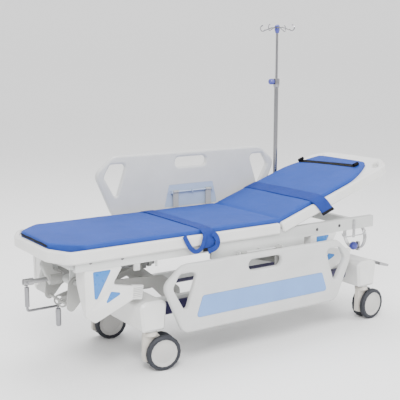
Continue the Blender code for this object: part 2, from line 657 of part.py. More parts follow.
def lift_cover(side_name, end, deck, origin):
    """A forked trim panel under the side tube, with two recesses for inlays and a sleeve on one leg."""
    side = SIDE[side_name]
    step = END_STEP[end]

    def at(x, y, z):
        return (x + step - origin[0], y, z - origin[1])

    top = FRAME_BOTTOM - GAP
    face = rounded([
        (-0.953, 0.284, 0.020), (-0.912, 0.255, 0.014), (-0.743, 0.325, 0.008), (-0.739, 0.379, 0.010),
        (-0.836, 0.399, 0.012), (-0.789, top, 0.0055), (-0.955, top, 0.0055),
    ])
    body = plate(face, COVER_THICKNESS, at(0, side * COVER_Y, 0), "xz")
    fold = rounded([(0.166, top - 0.004, 0.006), (0.176, 0.400, 0.02), (0.228, 0.300, 0.02),
                    (0.246, 0.300, 0), (0.246, top - 0.004, 0)])
    if side < 0:
        fold = [(-y, z) for y, z in reversed(fold)]
    wrap = plate(fold, 0.011, at(-0.9465, 0, 0), "yz")
    sleeve = block((0.052, 0.014, 0.058), at(-0.722, side * COVER_Y, 0.350), (0, 8, 0))
    tall = rounded([(-0.903, 0.349, 0.005), (-0.838, 0.463, 0.005), (-0.919, 0.463, 0.005),
                    (-0.914, 0.353, 0.005)])
    small = rounded([(-0.869, 0.323, 0.005), (-0.789, 0.360, 0.006), (-0.842, 0.373, 0.006)])
    outer = side * (FRAME_OUTER + 0.0078)
    cuts = [plate(inlay, 0.020, at(0, outer, 0), "xz") for inlay in (tall, small)]
    node(f"lift_cover_{side_name}_{end}", body, WHITE_PLASTIC, deck, [wrap, sleeve], cuts)


# ---------------------------------------------------------------- crank and screw

def crank(deck, origin):
    def at(x, y, z):
        return (x - origin[0], y, z - origin[1])

    hanger = rounded([
        (-0.990, 0.366, 0.012), (-0.940, 0.366, 0.012), (-0.940, 0.418, 0.014), (-0.978, 0.430, 0.02),
        (-0.984, FRAME_CROSS_Z - 0.019 - GAP, 0.005), (-1.012, FRAME_CROSS_Z - 0.019 - GAP, 0.005),
        (-1.030, 0.452, 0.02),
    ])
    body = plate(hanger, 0.030, at(0, 0, 0), "xz", 0.004)
    boss = bar(0.025, 0.052, at(-0.968, 0, CRANK_Z), "x", 24)
    bore = bar(SCREW_RADIUS + RUN, 0.120, at(-0.970, 0, CRANK_Z), "x")
    node("crank_bracket", body, GREY_STEEL, deck, [boss], [bore])

    turn = empty("crank_turn", at(CRANK_JOINT_X, 0, CRANK_Z), deck)
    length = SCREW_END_X - (CRANK_JOINT_X + 0.020)
    shaft = bar(SCREW_RADIUS, length, (SCREW_END_X - CRANK_JOINT_X - length / 2, 0, 0), "x")
    yoke = bar(0.0145, 0.042, (0.007, 0, 0), "x", 20)
    slot = block((0.030, 0.013, 0.040), (-0.002, 0, 0))
    pin_bore = bar(0.0045, 0.060, (0, 0, 0), "y", 12)
    node("lift_screw", shaft, ZINC, turn, [yoke], [slot, pin_bore])

    nut = empty("nut_slide", at(NUT_X, 0, CRANK_Z), deck)
    pin = bar(0.006, 0.056, (0, 0, 0), "y", 16)
    body = block((0.034, 0.036, 0.034), (0, 0, 0))
    bore = bar(SCREW_RADIUS + RUN, 0.060, (0, 0, 0), "x")
    node("lift_nut", body, ZINC, nut, [pin], [bore])

    reach = hypot(LOBE_X - NUT_X, LOBE_Z - CRANK_Z)
    slope = degrees(atan2(CRANK_Z - LOBE_Z, NUT_X - LOBE_X))
    swing = empty("link_swing", (0, 0, 0), nut, tilt=slope)
    flank = rounded([(-reach - 0.022, -0.022, 0.020), (-reach + 0.022, -0.022, 0.020), (-0.030, -0.010, 0.01),
                     (0.012, -0.012, 0.011), (0.012, 0.012, 0.011), (-0.030, 0.010, 0.01),
                     (-reach + 0.022, 0.022, 0.020), (-reach - 0.022, 0.022, 0.020)])
    holes = [circle(-reach, 0, LINK_EYE, 20), circle(0, 0, 0.006 + RUN, 16)]
    body = plate(flank, 0.005, (0, 0.0215, 0), "xz", 0, holes)
    other = plate(flank, 0.005, (0, -0.0215, 0), "xz", 0, holes)
    tie = block((0.012, 0.043, 0.010), (-reach + 0.060, 0, 0))
    node("drag_link", body, GREY_STEEL, swing, [other, tie])

    fold = empty("crank_fold", (0, 0, 0), turn)
    eye = bar(0.010, 0.012, (0, 0, 0), "y", 16)
    pin = bar(0.004, 0.032, (0, 0, 0), "y", 12)
    neck = bar(0.0045, 0.022, (0, 0, -0.015), "z", 12)
    sleeve = bar(0.0095, 0.081, (0, 0, -0.0615), "z", 16)
    path = [(0, 0, -0.095), (0, 0, -CRANK_DROP), (CRANK_REACH, 0, -CRANK_DROP),
            (CRANK_REACH, 0, -CRANK_DROP - CRANK_GRIP_LENGTH + 0.002)]
    rod = wire(bend(path, 0.010), CRANK_ROD)
    node("crank_handle", sleeve, CHROME, fold, [neck, eye, pin, rod])

    top = -CRANK_DROP - 0.012
    bottom = -CRANK_DROP - CRANK_GRIP_LENGTH - 0.002
    spin = empty("grip_spin", (CRANK_REACH, 0, 0), fold)
    bore = CRANK_ROD + RUN
    profile = [(bore, top), (0.0105, top), (0.012, top - 0.012), (0.011, bottom + 0.004),
               (0.008, bottom), (bore, bottom)]
    node("crank_grip", turned(profile, (0, 0, 0), steps=18, closed=True), CHROME, spin)


# ---------------------------------------------------------------- side rails

def rail_outline():
    """The rail's outline about its middle and its lower edge: wide ears over a narrower foot."""
    half = RAIL_LENGTH / 2
    top = RAIL_HEIGHT
    right = [(0.430, 0, 0.050), (half, 0.190, 0.030), (half, 0.222, 0.040), (0.430, top, 0.060)]
    left = [(-x, z, r) for x, z, r in reversed(right)]
    return rounded(right + left, 24)


def rail_corner_hole(side):
    corners = [(0.415, 0.088, 0.012), (0.478, 0.200, 0.018), (0.444, 0.256, 0.016), (0.357, 0.256, 0.020)]
    if side < 0:
        corners = [(-x, z, r) for x, z, r in reversed(corners)]
    return rounded(corners, 36)


def panel_outline(inset):
    low = 0.059 + inset
    high = 0.151 - inset
    return rounded([(-0.367 + inset, low, 0.012), (0.367 - inset, low, 0.012),
                    (0.334 - inset, high, 0.012), (-0.334 + inset, high, 0.012)], 30)


def hinge_outline(inset):
    low = 0.027 + inset
    high = 0.135 - inset
    return rounded([(-0.155 + inset, low, 0.006), (0.155 - inset, low, 0.006),
                    (0.128 - inset, high, 0.006), (-0.128 + inset, high, 0.006)], 30)


def side_rail(side_name, deck, origin):
    """A rail on a pair of swing arms that stay parallel; the near one hangs, the far one stands."""
    side = SIDE[side_name]
    rise = RAIL_BOTTOM[side_name] + RAIL_PIVOT_RISE - RAIL_PIVOT_HEIGHT
    swing = empty(f"rail_swing_{side_name}",
                  (RAIL_CENTRE_X - origin[0], side * RAIL_PIVOT_Y, RAIL_PIVOT_HEIGHT - origin[1]), deck)
    arm_shape = (RAIL_ARM_WIDTH, RAIL_ARM_THICKNESS, RAIL_ARM)
    x = RAIL_ARM_SPACING / 2
    body = block(arm_shape, (x, 0, rise / 2))
    unions = [block(arm_shape, (-x, 0, rise / 2)),
              block((RAIL_ARM_SPACING, 0.0054, 0.018), (0, 0, rise * 0.55))]
    cuts = []
    for z in (0, rise):
        for hand in (-x, x):
            unions.append(bar(RAIL_BARREL_RADIUS, RAIL_ARM_WIDTH, (hand, 0, z), "x", 10))
        cuts.append(bar(RAIL_PIN_RADIUS + RUN, 2 * RAIL_EAR_X, (0, 0, z), "x", 8))
    node(f"rail_arms_{side_name}", body, GREY_STEEL, swing, unions, cuts)

    hang = empty(f"rail_hang_{side_name}", (0, 0, rise), swing)
    plane = side * (RAIL_PLANE - RAIL_PIVOT_Y)
    inner = side * (RAIL_INNER - RAIL_PIVOT_Y)
    slot = rounded([(-0.092, 0.219, 0.024), (0.092, 0.219, 0.024), (0.092, 0.268, 0.024),
                    (-0.092, 0.268, 0.024)], 30)
    holes = [slot, rail_corner_hole(1), rail_corner_hole(-1)]
    shell = plate(rail_outline(), RAIL_THICKNESS, (0, plane, -RAIL_PIVOT_RISE), "xz", 0.009, holes, 1)
    outer = plane + side * (RAIL_THICKNESS / 2 - 0.002 + 0.010)
    recess = plate(panel_outline(0), 0.020, (0, outer, -RAIL_PIVOT_RISE), "xz")
    pocket = plate(hinge_outline(0), 0.020, (0, inner + side * (0.0043 - 0.010), -RAIL_PIVOT_RISE), "xz")
    node(f"side_rail_{side_name}", shell, RAIL_PLASTIC, hang, cuts=[recess, pocket])
    thick = 0.0035
    panel = plate(panel_outline(0.0006), thick,
                  (0, plane + side * (RAIL_THICKNESS / 2 - 0.002 + GAP + thick / 2), -RAIL_PIVOT_RISE),
                  "xz", 0.001)
    node(f"rail_panel_{side_name}", panel, PANEL_PLASTIC, hang)
    backing = plate(hinge_outline(0.0004), 0.004, (0, inner + side * 0.002, -RAIL_PIVOT_RISE), "xz")
    ears = [block((0.006, 0.018, 0.015), (hand, side * 0.0025, 0)) for hand in (-RAIL_EAR_X, 0, RAIL_EAR_X)]
    ears.append(bar(RAIL_PIN_RADIUS, 2 * RAIL_EAR_X + 0.006, (0, 0, 0), "x", 8))
    node(f"rail_plate_{side_name}", backing, ZINC, hang, ears)


# ---------------------------------------------------------------- backrest

def backrest(deck, origin):
    tilt = empty("back_hinge", (HINGE_X - origin[0], 0, HINGE_Z - origin[1]), deck, tilt=BACK_ANGLE)
    here = (0, HINGE_Z)
    board("back_board", back_outline, back_bed(0.0025), back_outline(0.0128, -0.020), tilt, here,
          [grip_hole(-1), grip_hole(1)])
    mattress("mattress_back", back_bed(0), tilt, here)

    height = BACK_MATTRESS_TOP + GAP + STRAP_THICKNESS / 2
    edge = DECK_HALF + 0.006
    chest = ribbon([(0.262, height), (-0.248, height), (-edge, height - 0.016), (-edge, -0.068)],
                   STRAP_THICKNESS)
    node("chest_strap", plate(chest, 0.070, (0.235, 0, 0), "yz"), BLUE_FABRIC, tilt)
    head = ribbon([(0.222, height), (-0.222, height)], STRAP_THICKNESS)
    node("head_strap", plate(head, 0.028, (0.560, 0, 0), "yz"), BLACK_FABRIC, tilt)


# ---------------------------------------------------------------- drip pole and accessories

def drip_pole(deck, origin):
    def at(x, y, z):
        return (x - origin[0], y, z - origin[1])

    low = 0.476
    bore = POLE_SLIDER_RADIUS + RUN
    base = turned([
        (bore, POLE_CLAMP + 0.016), (0.0150, POLE_CLAMP + 0.016), (0.0165, POLE_CLAMP + 0.013),
        (0.0165, POLE_CLAMP - 0.014), (0.0135, POLE_CLAMP - 0.030), (POLE_TUBE_RADIUS, POLE_CLAMP - 0.032),
        (POLE_TUBE_RADIUS, low), (bore, low),
    ], at(POLE_X, POLE_Y, 0), steps=14, closed=True)
    screw_bore = bar(0.0045, 0.020, at(POLE_X - 0.014, POLE_Y, POLE_CLAMP), "x", 12)
    node("pole_tube", base, CHROME, deck, cuts=[screw_bore])

    turn = empty("pole_knob_turn", at(POLE_X - 0.0165, POLE_Y, POLE_CLAMP), deck)
    knob = turned([(0, 0.028), (0.012, 0.028), (0.015, 0.024), (0.015, 0.010), (0.011, 0.003),
                   (0.007, 0.001), (0.004, 0.001), (0.004, -0.008), (0, -0.008)],
                  (0, 0, 0), steps=14, turn=(0, -90, 0))
    node("pole_knob", knob, BLUE_PLASTIC, turn)

    slide = empty("pole_slide", at(POLE_X, POLE_Y, POLE_CLAMP), deck)
    top = POLE_TOP - POLE_CLAMP
    bottom = 0.760 - POLE_CLAMP
    stem = bar(POLE_SLIDER_RADIUS, top - 0.030 - bottom, (0, 0, (top - 0.030 + bottom) / 2), sides=16)
    node("pole_slider", stem, CHROME, slide)
    hub = turned([(0, top), (0.006, top - 0.001), (0.0125, top - 0.007), (0.0135, top - 0.012),
                  (0.0100, top - 0.013), (0.0100, top - 0.019), (0.0135, top - 0.020),
                  (0.0135, top - 0.028), (0.0090, top - 0.044),
                  (POLE_SLIDER_RADIUS + GAP, top - 0.044), (POLE_SLIDER_RADIUS + GAP, top - 0.0296),
                  (0, top - 0.0296)],
                 (0, 0, 0), steps=14)
    node("pole_hub", hub, BLUE_PLASTIC, slide)
    level = top - 0.016
    collar = turned([(0.0103, level + 0.0024), (0.0150, level + 0.0024), (0.0150, level - 0.0024),
                     (0.0103, level - 0.0024)], (0, 0, 0), steps=14, closed=True)
    hooks = []
    for i in range(4):
        angle = radians(HOOK_TURN + 90 * i)
        out = Vector((cos(angle), sin(angle), 0))
        path = [(0.0128, level), (0.030, level + 0.001), (HOOK_REACH - 2 * HOOK_CURL, level - 0.012)]
        centre = HOOK_REACH - HOOK_CURL
        for k in range(7):
            turn = radians(-150 + 40 * k)
            path.append((centre + HOOK_CURL * cos(turn), level - 0.002 + HOOK_CURL * sin(turn)))
        hooks.append(wire([tuple(out * r + Vector((0, 0, z))) for r, z in path], HOOK_WIRE, 1))
    node("drip_hooks", collar, CHROME, slide, hooks)


def accessories(deck, origin):
    """The oxygen bottle ring with its clamp knob, and the drainage bag hook."""

    def at(x, y, z):
        return (x - origin[0], y, z - origin[1])

    x, y, z = RING_CENTRE
    inner = RING_RADIUS - RING_WALL
    half = RING_BAND / 2
    ring = turned([(inner, half), (RING_RADIUS, half), (RING_RADIUS, -half), (inner, -half)],
                  at(x, y, z), "x", 24, closed=True)
    tab = block((0.016, 0.020, 0.0057), at(x, y, z + RING_RADIUS - 0.00115))
    lug = block((0.012, 0.018, 0.044), at(x, y - 0.024, z - 0.050))
    bore = bar(0.0044, 0.030, at(x, y - 0.024, z - 0.046), "x", 12)
    node("oxygen_ring", ring, ZINC, deck, [tab, lug], [bore])
    turn = empty("ring_knob_turn", at(x - 0.030, y - 0.024, z - 0.046), deck)
    ball = turned([(0, 0.022), (0.010, 0.0195), (0.017, 0.013), (0.021, 0.004), (0.021, -0.004),
                   (0.016, -0.0135), (0.009, -0.0185), (0.009, -0.022), (0.004, -0.022),
                   (0.004, -0.034), (0, -0.034)], (0, 0, 0), steps=14, turn=(0, -90, 0))
    node("ring_knob", ball, BLUE_PLASTIC, turn)

    hook_y = -FRAME_OUTER - GAP - 0.002
    strap = rounded([(0.468, 0.430, 0.003), (0.482, 0.430, 0.003), (0.482, 0.517, 0.003), (0.468, 0.517, 0.003)])
    body = plate(strap, 0.004, at(0, hook_y, 0), "xz")
    path = [(0.398, 0.458), (0.402, 0.446), (0.414, 0.4385), (0.450, 0.4375), (0.530, 0.4385),
            (0.546, 0.4440), (0.553, 0.458)]
    rod = wire([at(px, hook_y, pz) for px, pz in path], 0.0027)
    node("drainage_hook", body, ZINC, deck, [rod])


# ---------------------------------------------------------------- assembly

base()
beam_cover("foot", 1)
beam_cover("head", -1)
bumper("near")
bumper("far")
for side_name in SIDE:
    for end in STEM_X:
        castor(side_name, end)
brake_pedal()

FOOT_PIVOT = lift_arm("foot")
lift_arm("head")
DECK_ORIGIN = (ARM_TOP_X, ARM_TOP_Z)
DECK = empty("deck", (-ARM_RUN, 0, ARM_RISE), FOOT_PIVOT)

deck_frame(DECK, DECK_ORIGIN)
board("seat_board", seat_outline, seat_outline(RIM_WIDTH), seat_outline(0.0128, HINGE_X + 0.020),
      DECK, DECK_ORIGIN)
SEAT_INSET = DECK_HALF - MATTRESS_HALF
mattress("mattress_seat", seat_outline(SEAT_INSET, HINGE_X - 0.020), DECK, DECK_ORIGIN)
BODY_STRAP_Z = MATTRESS_TOP + GAP + STRAP_THICKNESS / 2 - ARM_TOP_Z
BODY_EDGE = DECK_HALF + 0.005
BODY_STRAP = ribbon([
    (0.246, BODY_STRAP_Z), (-0.246, BODY_STRAP_Z), (-BODY_EDGE, BODY_STRAP_Z - 0.014),
    (-BODY_EDGE, BODY_STRAP_Z - 0.094),
], STRAP_THICKNESS)
node("body_strap", plate(BODY_STRAP, 0.060, (-0.385 - ARM_TOP_X, 0, 0), "yz"), BLUE_FABRIC, DECK)
for side_name in SIDE:
    for end in STEM_X:
        lift_cover(side_name, end, DECK, DECK_ORIGIN)
crank(DECK, DECK_ORIGIN)
for side_name in SIDE:
    side_rail(side_name, DECK, DECK_ORIGIN)
backrest(DECK, DECK_ORIGIN)
drip_pole(DECK, DECK_ORIGIN)
accessories(DECK, DECK_ORIGIN)
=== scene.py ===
"""Looks of the stretcher trolley: fabric, inlays, fasteners, materials, light and camera."""
from math import cos, exp, pi, radians, sin

import bmesh
import bpy
import numpy as np
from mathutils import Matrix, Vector, noise


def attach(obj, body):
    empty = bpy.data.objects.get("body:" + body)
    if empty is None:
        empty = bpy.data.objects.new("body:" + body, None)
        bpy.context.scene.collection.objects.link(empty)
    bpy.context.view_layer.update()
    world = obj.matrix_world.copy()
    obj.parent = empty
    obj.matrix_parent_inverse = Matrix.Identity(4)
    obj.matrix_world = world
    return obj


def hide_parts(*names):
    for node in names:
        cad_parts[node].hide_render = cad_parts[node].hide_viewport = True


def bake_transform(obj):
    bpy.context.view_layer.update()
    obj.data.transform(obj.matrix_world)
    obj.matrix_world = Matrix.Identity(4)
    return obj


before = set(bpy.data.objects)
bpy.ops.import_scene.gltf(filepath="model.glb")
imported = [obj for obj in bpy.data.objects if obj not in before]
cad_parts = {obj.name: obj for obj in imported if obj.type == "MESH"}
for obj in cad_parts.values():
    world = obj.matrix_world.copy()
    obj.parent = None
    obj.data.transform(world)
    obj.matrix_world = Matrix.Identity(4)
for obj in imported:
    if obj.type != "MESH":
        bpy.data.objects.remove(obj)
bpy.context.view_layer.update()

# The design's own zero in the row frame, metres
SHIFT = Vector((0.178, -0.0325, 0.0))

HINGE_X = 0.013
HINGE_Z = 0.551
BACK_ANGLE = radians(18.5)
MATTRESS_TOP = 0.5713
MATTRESS_BOTTOM = 0.5413
MATTRESS_HALF = 0.2495
MATTRESS_FOOT = -1.0545
MATTRESS_HEAD = 0.655
MATTRESS_TAPER = 0.470
HEAD_HALF = 0.165
FOOT_HALF = 0.138
FOOT_TAPER = 0.115
COVER_FACE = 0.256
HEAD_COVER_STEP = 1.155
SIDES = {"near": -1, "far": 1}
ENDS = ("foot", "head")


def row(x, y, z):
    """A point of the design in the row frame."""
    return Vector((x, y, z)) + SHIFT


def on_back(length, y, rise):
    """A point on the backrest: along it, across it, and above its hinge line."""
    return row(HINGE_X + length * cos(BACK_ANGLE) - rise * sin(BACK_ANGLE), y,
               HINGE_Z + length * sin(BACK_ANGLE) + rise * cos(BACK_ANGLE))


# ------------------------------------------------------------------------------ materials

def surface(name, colour, rough, metal=0.0, spread=0.04, patch=9.0, grain=420.0, bump=0.10,
            edge=0.0012, coat=0.0, weave=0.0, scuff=0.0, specular=0.5):
    """A procedural finish: mottled colour, uneven gloss, fine grain or weave, eased edges."""
    made = bpy.data.materials.new(name)
    made.use_nodes = True
    nodes = made.node_tree.nodes
    links = made.node_tree.links
    shader = nodes["Principled BSDF"]
    shader.inputs["Metallic"].default_value = metal
    shader.inputs["Coat Weight"].default_value = coat
    shader.inputs["Coat Roughness"].default_value = 0.12
    shader.inputs["Specular IOR Level"].default_value = specular
    place = nodes.new("ShaderNodeTexCoord").outputs["Object"]

    def noise_at(scale, detail):
        made_noise = nodes.new("ShaderNodeTexNoise")
        made_noise.inputs["Scale"].default_value = scale
        made_noise.inputs["Detail"].default_value = detail
        links.new(place, made_noise.inputs["Vector"])
        return made_noise.outputs["Fac"]

    def ramp(source, low, high, start=0.32, end=0.68):
        mix = nodes.new("ShaderNodeValToRGB")
        mix.color_ramp.elements[0].position = start
        mix.color_ramp.elements[1].position = end
        mix.color_ramp.elements[0].color = (*low, 1)
        mix.color_ramp.elements[1].color = (*high, 1)
        links.new(source, mix.inputs["Fac"])
        return mix.outputs["Color"]

    dark = [c * (1 - spread) for c in colour]
    light = [min(1.0, c * (1 + spread)) for c in colour]
    tone = ramp(noise_at(patch, 4.0), dark, light)
    if scuff:
        geometry = nodes.new("ShaderNodeNewGeometry")
        worn = nodes.new("ShaderNodeMix")
        worn.data_type = "RGBA"
        mask = nodes.new("ShaderNodeMapRange")
        mask.inputs["From Min"].default_value = 0.53
        mask.inputs["From Max"].default_value = 0.60
        mask.inputs["To Max"].default_value = scuff
        links.new(geometry.outputs["Pointiness"], mask.inputs["Value"])
        links.new(mask.outputs["Result"], worn.inputs["Factor"])
        links.new(tone, worn.inputs[6])
        worn.inputs[7].default_value = (*[c * 0.72 for c in colour], 1)
        tone = worn.outputs[2]
    links.new(tone, shader.inputs["Base Color"])

    gloss = nodes.new("ShaderNodeMapRange")
    gloss.inputs["To Min"].default_value = max(0.02, rough - 0.05)
    gloss.inputs["To Max"].default_value = min(1.0, rough + 0.06)
    links.new(noise_at(patch * 5, 5.0), gloss.inputs["Value"])
    links.new(gloss.outputs["Result"], shader.inputs["Roughness"])

    eased = nodes.new("ShaderNodeBevel")
    eased.samples = 4
    eased.inputs["Radius"].default_value = edge
    texture = noise_at(grain, 2.0)
    if weave:
        threads = []
        for direction in ("X", "Y"):
            wave = nodes.new("ShaderNodeTexWave")
            wave.bands_direction = direction
            wave.inputs["Scale"].default_value = weave
            wave.inputs["Distortion"].default_value = 0.4
            wave.inputs["Detail"].default_value = 1.0
            links.new(place, wave.inputs["Vector"])
            threads.append(wave.outputs["Fac"])
        crossed = nodes.new("ShaderNodeMath")
        crossed.operation = "MULTIPLY"
        links.new(threads[0], crossed.inputs[0])
        links.new(threads[1], crossed.inputs[1])
        texture = crossed.outputs["Value"]
    relief = nodes.new("ShaderNodeBump")
    relief.inputs["Strength"].default_value = bump
    relief.inputs["Distance"].default_value = 0.0006
    links.new(texture, relief.inputs["Height"])
    links.new(eased.outputs["Normal"], relief.inputs["Normal"])
    links.new(relief.outputs["Normal"], shader.inputs["Normal"])
    return made


FINISH = {
    "white_steel": surface("white_steel", (0.58, 0.59, 0.58), 0.36, bump=0.12, coat=0.2, scuff=0.5),
    "white_plastic": surface("white_plastic", (0.74, 0.74, 0.725), 0.30, bump=0.06, coat=0.2, scuff=0.3),
    "rail_plastic": surface("rail_plastic", (0.56, 0.565, 0.56), 0.38, bump=0.10, grain=650, scuff=0.4),
    "cream_plastic": surface("cream_plastic", (0.62, 0.585, 0.53), 0.42, bump=0.08, scuff=0.4),
    "disc_plastic": surface("disc_plastic", (0.50, 0.49, 0.475), 0.48, bump=0.08),
    "tyre_rubber": surface("tyre_rubber", (0.020, 0.022, 0.030), 0.62, spread=0.18, patch=26, bump=0.20,
                           edge=0.0018, scuff=0.4),
    "navy_plastic": surface("navy_plastic", (0.010, 0.006, 0.050), 0.42, bump=0.18, spread=0.10),
    # Painted shadow: the bolts' near-black colour stands in for the shadow under the rim overhang.
    "zinc_painted_shadow": surface("zinc_painted_shadow", (0.085, 0.085, 0.09), 0.35, metal=0.9, spread=0.2, patch=60, bump=0.10),
    "rail_fitting": surface("rail_fitting", (0.36, 0.44, 0.58), 0.34, bump=0.06, coat=0.2),
    "zinc": surface("zinc", (0.40, 0.40, 0.41), 0.34, metal=1.0, spread=0.10, patch=60, bump=0.08),
    "grey_steel": surface("grey_steel", (0.40, 0.40, 0.385), 0.38, bump=0.14, coat=0.15, scuff=0.5),
    "chrome": surface("chrome", (0.26, 0.26, 0.275), 0.16, metal=1.0, spread=0.03, patch=30, bump=0.02),
    "panel_blue": surface("panel_blue", (0.155, 0.30, 0.62), 0.36, bump=0.06, edge=0.0008),
    "inlay_blue": surface("inlay_blue", (0.015, 0.165, 0.50), 0.28, bump=0.05, coat=0.4, edge=0.0008),
    "knob_blue": surface("knob_blue", (0.040, 0.050, 0.30), 0.30, bump=0.08, coat=0.3),
    # Painted shadow: this near-black is laid along the mattress's foot edge and on the straps' hanging ends,
    # where shade falls.
    "painted_shadow_black": surface("painted_shadow_black", (0.004, 0.004, 0.006), 0.65, bump=0.25, weave=520, spread=0.15,
                          specular=0.2),
    "mattress_cloth": surface("mattress_cloth", (0.022, 0.062, 0.300), 0.66, spread=0.07, patch=5.0,
                              bump=0.28, weave=330, specular=0.18, edge=0.0006),
    "strap_cloth": surface("strap_cloth", (0.016, 0.042, 0.235), 0.75, spread=0.08, patch=14, bump=0.65,
                           weave=260, specular=0.18, edge=0.0004),
    "strap_black": surface("strap_black", (0.004, 0.004, 0.006), 0.75, spread=0.2, patch=14, bump=0.65,
                           weave=260, specular=0.15, edge=0.0004),
}

NODE_FINISH = {
    "base_frame": "white_steel", "deck_frame": "white_steel", "foot_beam_cover": "white_plastic",
    "head_beam_cover": "white_plastic", "seat_board": "white_plastic", "back_board": "white_plastic",
    "base_bumper_near": "navy_plastic", "base_bumper_far": "navy_plastic", "brake_pedal": "zinc",
    "lift_screw": "zinc", "lift_nut": "zinc", "rail_plate_near": "rail_fitting",
    "rail_plate_far": "rail_fitting",
    "oxygen_ring": "zinc", "drainage_hook": "zinc", "foot_lift_arm": "grey_steel",
    "head_lift_arm": "grey_steel", "drag_link": "grey_steel", "crank_bracket": "grey_steel",
    "rail_arms_near": "grey_steel", "rail_arms_far": "grey_steel", "crank_handle": "chrome",
    "crank_grip": "chrome", "pole_tube": "chrome", "pole_slider": "chrome", "drip_hooks": "chrome",
    "side_rail_near": "rail_plastic", "side_rail_far": "rail_plastic", "rail_panel_near": "panel_blue",
    "rail_panel_far": "panel_blue", "pole_knob": "knob_blue", "pole_hub": "knob_blue",
    "ring_knob": "knob_blue",
}
for side in SIDES:
    for end in ENDS:
        castor = f"castor_{side}_{end}"
        NODE_FINISH[castor + "_fork"] = "cream_plastic"
        NODE_FINISH[castor + "_wheel"] = "disc_plastic"
        NODE_FINISH[castor + "_tyre_inner"] = "tyre_rubber"
        NODE_FINISH[castor + "_tyre_outer"] = "tyre_rubber"
        NODE_FINISH[f"lift_cover_{side}_{end}"] = "white_plastic"

for node_name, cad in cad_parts.items():
    look = FINISH[NODE_FINISH.get(node_name, "mattress_cloth")]
    if not cad.material_slots:
        cad.data.materials.append(look)
    for place in cad.material_slots:
        place.material = look


# ------------------------------------------------------------------------------ mesh helpers

def solid(name, bm, finish, body):
    """Finishes a mesh, gives it its material and hangs it on a body."""
    bmesh.ops.recalc_face_normals(bm, faces=bm.faces)
    mesh = bpy.data.meshes.new(name)
    bm.to_mesh(mesh)
    bm.free()
    made = bpy.data.objects.new(name, mesh)
    bpy.context.scene.collection.objects.link(made)
    mesh.materials.append(FINISH[finish])
    mesh.shade_smooth()
    mesh.set_sharp_from_angle(angle=radians(38))
    if body:
        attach(made, body)
    return made


def loops_to_mesh(loops):
    """A skin over closed loops of equal length, capped at both ends."""
    bm = bmesh.new()
    rings = [[bm.verts.new(p) for p in loop] for loop in loops]
    count = len(rings[0])
    for low, high in zip(rings, rings[1:]):
        for k in range(count):
            bm.faces.new((low[k], low[(k + 1) % count], high[(k + 1) % count], high[k]))
    for ring in (rings[0], rings[-1]):
        middle = bm.verts.new(sum((v.co for v in ring), Vector()) / count)
        for k in range(count):
            bm.faces.new((ring[k], ring[(k + 1) % count], middle))
    return bm


def turned(profile, centre, axis, sides=32):
    """A turned solid: (distance along the axis, radius) pairs, closed by caps."""
    axis = Vector(axis).normalized()
    across = axis.orthogonal().normalized()
    up = axis.cross(across)
    loops = []
    for along, radius in profile:
        loops.append([Vector(centre) + axis * along
                      + (across * cos(2 * pi * k / sides) + up * sin(2 * pi * k / sides)) * radius
                      for k in range(sides)])
    return loops_to_mesh(loops)


def dome(radius, height, steps=5):
    """The profile of a domed button, from its back face to its crown."""
    rim = height * 0.35
    out = [(0.0, radius * 0.96), (rim * 0.3, radius), (rim, radius)]
    for k in range(1, steps + 1):
        a = pi / 2 * k / steps
        out.append((rim + (height - rim) * sin(a), max(radius * cos(a), radius * 0.02)))
    return out


def hex_bolt(name, centre, axis, body, size=0.0055, height=0.0030):
    """A hexagonal bolt head with a chamfered crown on a round washer."""
    axis = Vector(axis).normalized()
    washer = turned([(0, size * 1.35), (0.0007, size * 1.4), (0.0010, size * 1.3)], centre, axis, 24)
    head = turned([(0.0009, size), (height * 0.8, size), (height, size * 0.82)],
                  centre, axis, 6)
    mesh = bpy.data.meshes.new("head")
    head.to_mesh(mesh)
    head.free()
    washer.from_mesh(mesh)
    bpy.data.meshes.remove(mesh)
    # The bolt's near-black finish is painted shadow from the rim overhang above it.
    return solid(name, washer, "zinc_painted_shadow", body)


# ------------------------------------------------------------------------------ mattress

def half_width(s):
    """Half the mattress's width at a station along it, from the hinge."""
    from_foot = s - (MATTRESS_FOOT - HINGE_X)
    if from_foot < FOOT_TAPER:
        t = max(from_foot, 0.0) / FOOT_TAPER
        return FOOT_HALF + (MATTRESS_HALF - FOOT_HALF) * (0.75 * t + 0.25 * t * (2 - t))
    if s > MATTRESS_TAPER:
        t = (s - MATTRESS_TAPER) / (MATTRESS_HEAD - MATTRESS_TAPER)
        ease = 0.5 * t + 0.5 * t * t
        return MATTRESS_HALF + (HEAD_HALF - MATTRESS_HALF) * ease
    return MATTRESS_HALF


def bent(s, y, rise):
    """A mattress point: straight on the foot board, tilted on the backrest, eased between."""
    flat = row(HINGE_X + s, y, HINGE_Z + rise)
    t = min(1.0, max(0.0, (s + 0.030) / 0.060))
    t = t * t * (3 - 2 * t)
    return flat.lerp(on_back(s, y, rise), t)


